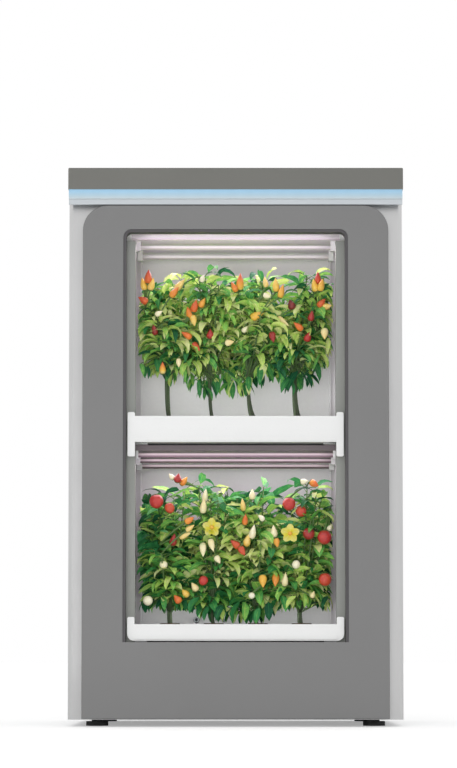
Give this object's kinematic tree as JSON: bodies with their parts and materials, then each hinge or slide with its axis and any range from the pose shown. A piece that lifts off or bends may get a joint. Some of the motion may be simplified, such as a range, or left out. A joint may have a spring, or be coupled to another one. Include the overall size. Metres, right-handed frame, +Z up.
{
  "type": "grow cabinet",
  "caption": "Grey and silver grow cabinet with a hinged window door, lit planting trays that draw out, pepper plants, water tank and fan.",
  "frame": {"origin": "on the floor under the middle of the cabinet", "axes": "+Z up, front faces -Y, +X to the right seen from the front"},
  "size_m": [0.6, 0.45, 1],
  "materials": {
    "grey_enamel": "satin",
    "cap_grey": "satin",
    "silver_metal": "satin",
    "case_metal": "satin",
    "strip_blue": "gloss",
    "trim_black": "matte",
    "liner_white": "satin",
    "tray_white": "satin",
    "lamp_white": "gloss",
    "housing_dark": "satin",
    "pot_black": "matte",
    "plug_brown": "matte",
    "leaf_green": "satin",
    "tank_clear": "gloss",
    "part_black": "matte",
    "board_green": "satin",
    "steel_bright": "satin",
    "foot_rubber": "matte"
  },
  "bodies": {
    "cabinet": {"front_frame": "silver_metal", "catch_magnets": "part_black", "left_side_panel": "case_metal", "right_side_panel": "case_metal", "base_pan": "case_metal", "levelling_feet": "foot_rubber", "back_panel": "case_metal", "back_screws": "steel_bright", "rear_bumpers": "foot_rubber", "top_plate": "silver_metal", "light_strip": "strip_blue", "strip_light_board": "board_green", "top_cap": "cap_grey", "control_board": "board_green", "chamber_floor": "liner_white", "chamber_ceiling": "liner_white", "side_liners": "liner_white", "back_liner": "liner_white", "front_uprights": "silver_metal", "rear_uprights": "silver_metal", "tray_runners": "steel_bright", "upper_light_housing": "housing_dark", "lower_light_housing": "housing_dark", "tube_sockets": "tray_white", "upper_light_tubes": "lamp_white", "lower_light_tubes": "lamp_white", "hinge_brackets": "steel_bright", "hinge_pins": "steel_bright", "water_tank": "tank_clear", "tank_lid": "tray_white", "filler_cap": "part_black", "pump_body": "part_black", "pump_cover": "part_black", "riser_tube": "tank_clear", "fan_frame": "part_black", "fan_guard": "steel_bright", "power_supply": "steel_bright", "power_inlet": "part_black", "switch_bezel": "part_black"},
    "door": {"door_panel": "grey_enamel", "door_liner": "liner_white", "window_trim": "trim_black", "door_seal": "trim_black", "hinge_blocks": "steel_bright", "catch_plates": "steel_bright"},
    "upper_drawer": {"upper_fascia": "tray_white", "upper_tray": "tray_white", "upper_deck": "tray_white", "upper_net_pots": "pot_black", "upper_grow_plugs": "plug_brown", "upper_plants": "leaf_green"},
    "lower_drawer": {"lower_fascia": "tray_white", "lower_tray": "tray_white", "lower_deck": "tray_white", "lower_net_pots": "pot_black", "lower_grow_plugs": "plug_brown", "lower_plants": "leaf_green"},
    "fan": {"fan_rotor": "part_black"},
    "impeller": {"pump_impeller": "tray_white"},
    "rocker": {"rocker_switch": "part_black"}
  },
  "joints": [
    {"name": "door_hinge", "type": "hinge", "parent": "cabinet", "child": "door", "pos_m": [-0.2665, -0.215, 0.47], "axis": [0, 0, -1], "range_deg": [0, 100]},
    {"name": "upper_tray_slide", "type": "slide", "parent": "cabinet", "child": "upper_drawer", "axis": [0, -1, 0], "range_m": [0, 0.22]},
    {"name": "lower_tray_slide", "type": "slide", "parent": "cabinet", "child": "lower_drawer", "axis": [0, -1, 0], "range_m": [0, 0.22]},
    {"name": "fan_spin", "type": "hinge", "parent": "cabinet", "child": "fan", "pos_m": [0, 0.2, 0.762], "axis": [0, 1, 0], "continuous": true},
    {"name": "impeller_spin", "type": "hinge", "parent": "cabinet", "child": "impeller", "pos_m": [-0.075, 0.1625, 0.035], "axis": [0, 0, 1], "continuous": true},
    {"name": "rocker_tilt", "type": "hinge", "parent": "cabinet", "child": "rocker", "pos_m": [0.095, 0.216, 0.074], "axis": [1, 0, 0], "range_deg": [0, 16]}
  ]
}
